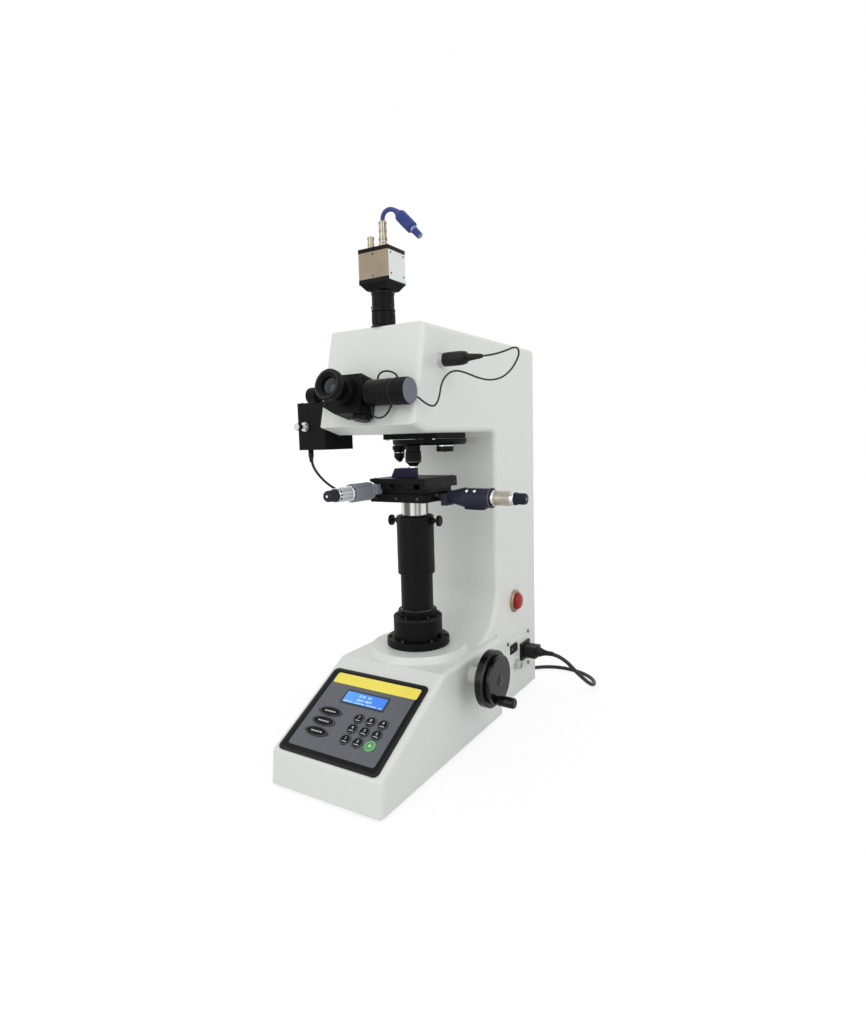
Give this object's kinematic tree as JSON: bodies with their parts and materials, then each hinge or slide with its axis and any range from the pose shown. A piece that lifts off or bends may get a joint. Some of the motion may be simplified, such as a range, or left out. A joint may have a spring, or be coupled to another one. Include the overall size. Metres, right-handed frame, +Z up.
{
  "type": "hardness tester",
  "caption": "Bench indentation hardness tester: C-frame head with objective turret, measuring eyepiece and camera over a handwheel-raised cross-slide stage.",
  "frame": {"origin": "on the bench, on the underside of the bottom plate, under the axis of the lifting screw and of the objective on station", "axes": "+X to the operator's right, +Y from the panel to the back of the column, +Z up"},
  "size_m": [0.3371, 0.6475, 0.7943],
  "materials": {
    "enamel": "semi-gloss enamel",
    "sheet_steel": "semi-gloss enamel",
    "dark_plate": "matt",
    "bezel": "fine matt",
    "overlay": "satin film",
    "anodised": "black anodised, satin",
    "anodised_navy": "dark blue-black anodised",
    "grey_enamel": "satin",
    "steel": "ground",
    "chrome": "polished",
    "black_steel": "blackened",
    "brass": "machined",
    "black_plastic": "moulded",
    "gloss_black": "polished",
    "cable": "extruded",
    "red_plastic": "moulded",
    "camera_shell": "satin",
    "camera_black": "satin",
    "blue_plastic": "moulded",
    "plate_metal": "brushed"
  },
  "bodies": {
    "frame": {"base_casting": "enamel", "column_casting": "enamel", "rear_cover": "sheet_steel", "bottom_plate": "dark_plate", "panel_bezel": "bezel", "membrane_keypad": "overlay", "gear_housing": "anodised", "screws": "black_steel", "lock_ring": "anodised", "guide_tube": "anodised", "bushes": "brass", "turret_mount": "anodised", "eyepiece_block": "anodised", "encoder_housing": "anodised", "camera_tube": "anodised", "camera_plates": "camera_black", "camera_body": "camera_shell", "camera_ports": "chrome", "camera_pigtail": "cable", "inline_connector": "blue_plastic", "encoder_cord": "cable", "din_plug": "black_plastic", "side_fittings": "black_plastic", "interface_box": "black_plastic", "sensor_cord": "cable", "stop_collar": "black_plastic", "power_plate": "plate_metal", "power_inlet": "black_plastic", "inlet_plug": "black_plastic", "mains_cord_run": "cable", "mains_cord_coil": "cable", "mains_plug": "black_plastic"},
    "handwheel": {"handwheel": "anodised", "handwheel_shaft": "steel"},
    "crank": {"crank_handle": "gloss_black"},
    "lifting_nut": {"lifting_nut": "brass"},
    "elevator": {"lifting_screw": "chrome", "guard_sleeve": "anodised", "stage_base": "anodised", "x_micrometer": "anodised_navy", "sensor_plug": "black_plastic"},
    "left_thumbscrew": {"thumbscrew_left": "anodised"},
    "right_thumbscrew": {"thumbscrew_right": "anodised"},
    "cross_slide": {"x_slide": "anodised", "y_micrometer": "grey_enamel"},
    "cross_thimble": {"x_thimble": "chrome"},
    "table": {"stage_top": "anodised", "specimen_rest": "anodised_navy"},
    "table_thimble": {"y_thimble": "chrome"},
    "turret": {"turret_disc": "anodised", "objectives": "anodised", "indenter": "steel"},
    "eyepiece": {"eyepiece": "gloss_black"},
    "encoder_knob": {"encoder_knob": "anodised"},
    "filar_knob": {"left_knob": "black_plastic"},
    "clamp_knob": {"clamp_knob": "black_plastic"},
    "stop_button": {"stop_button": "red_plastic"},
    "power_rocker": {"power_rocker": "gloss_black"},
    "box_screw": {"box_screw": "chrome"}
  },
  "joints": [
    {"name": "handwheel_spin", "type": "hinge", "parent": "frame", "child": "handwheel", "pos_m": [0.134, 0, 0.1094], "axis": [-1, 0, 0], "range_deg": [-6842, 302]},
    {"name": "crank_spin", "type": "hinge", "parent": "handwheel", "child": "crank", "pos_m": [0.16, -0.0133, 0.0834], "axis": [1, 0, 0], "continuous": true},
    {"name": "lifting_nut_spin", "type": "hinge", "parent": "frame", "child": "lifting_nut", "pos_m": [0, 0, 0.15], "axis": [0, 0, 1], "range_deg": [-3421, 151]},
    {"name": "elevation", "type": "slide", "parent": "frame", "child": "elevator", "axis": [0, 0, 1], "range_m": [-0.057, 0.0025], "deforming": ["sensor_cord"]},
    {"name": "left_thumbscrew_spin", "type": "hinge", "parent": "elevator", "child": "left_thumbscrew", "pos_m": [-0.03939, -0.00695, 0.346], "axis": [-0.9848, -0.1736, 0], "range_deg": [0, 360]},
    {"name": "right_thumbscrew_spin", "type": "hinge", "parent": "elevator", "child": "right_thumbscrew", "pos_m": [0.03939, 0.00695, 0.346], "axis": [0.9848, 0.1736, 0], "range_deg": [0, 360]},
    {"name": "cross_travel", "type": "slide", "parent": "elevator", "child": "cross_slide", "axis": [1, 0, 0], "range_m": [-0.001, 0.024]},
    {"name": "cross_thimble_spin", "type": "hinge", "parent": "cross_slide", "child": "cross_thimble", "pos_m": [0.15, 0, 0.385], "axis": [1, 0, 0], "range_deg": [-721, 17281]},
    {"name": "table_travel", "type": "slide", "parent": "cross_slide", "child": "table", "axis": [0, -1, 0], "range_m": [-0.001, 0.024]},
    {"name": "table_thimble_spin", "type": "hinge", "parent": "table", "child": "table_thimble", "pos_m": [-0.05, -0.115, 0.396], "axis": [0, -1, 0], "range_deg": [-721, 17281]},
    {"name": "turret_index", "type": "hinge", "parent": "frame", "child": "turret", "pos_m": [0, 0.05, 0.47], "axis": [0, 0, 1], "range_deg": [-60, 60]},
    {"name": "eyepiece_turn", "type": "hinge", "parent": "frame", "child": "eyepiece", "pos_m": [-0.0155, -0.16364, 0.54495], "axis": [0, -0.9699, 0.2434], "range_deg": [-90, 90]},
    {"name": "encoder_knob_spin", "type": "hinge", "parent": "frame", "child": "encoder_knob", "pos_m": [0.075, -0.13675, 0.53707], "axis": [1, 0, 0], "range_deg": [-1800, 1800]},
    {"name": "filar_knob_spin", "type": "hinge", "parent": "frame", "child": "filar_knob", "pos_m": [-0.078, -0.13469, 0.53913], "axis": [-1, 0, 0], "range_deg": [-1800, 1800]},
    {"name": "clamp_knob_turn", "type": "hinge", "parent": "frame", "child": "clamp_knob", "pos_m": [0.007, -0.13809, 0.50297], "axis": [0, -0.2434, -0.9699], "range_deg": [-90, 270]},
    {"name": "stop_button_press", "type": "slide", "parent": "frame", "child": "stop_button", "axis": [-1, 0, 0], "range_m": [0, 0.003], "stiffness_N_per_m": 600, "springref_m": -0.001},
    {"name": "power_rocker_tilt", "type": "hinge", "parent": "frame", "child": "power_rocker", "pos_m": [0.083, 0.181, 0.095], "axis": [0, 0, 1], "range_deg": [-9, 0]},
    {"name": "box_screw_spin", "type": "hinge", "parent": "frame", "child": "box_screw", "pos_m": [-0.1224, -0.12, 0.4965], "axis": [0, -1, 0], "range_deg": [0, 360]}
  ],
  "couplings": [
    {"joint": "handwheel_spin", "follows": "elevation", "rad_per_m": 2094.4},
    {"joint": "lifting_nut_spin", "follows": "elevation", "rad_per_m": 1047.2},
    {"joint": "cross_thimble_spin", "follows": "cross_travel", "rad_per_m": 12566},
    {"joint": "table_thimble_spin", "follows": "table_travel", "rad_per_m": 12566}
  ]
}
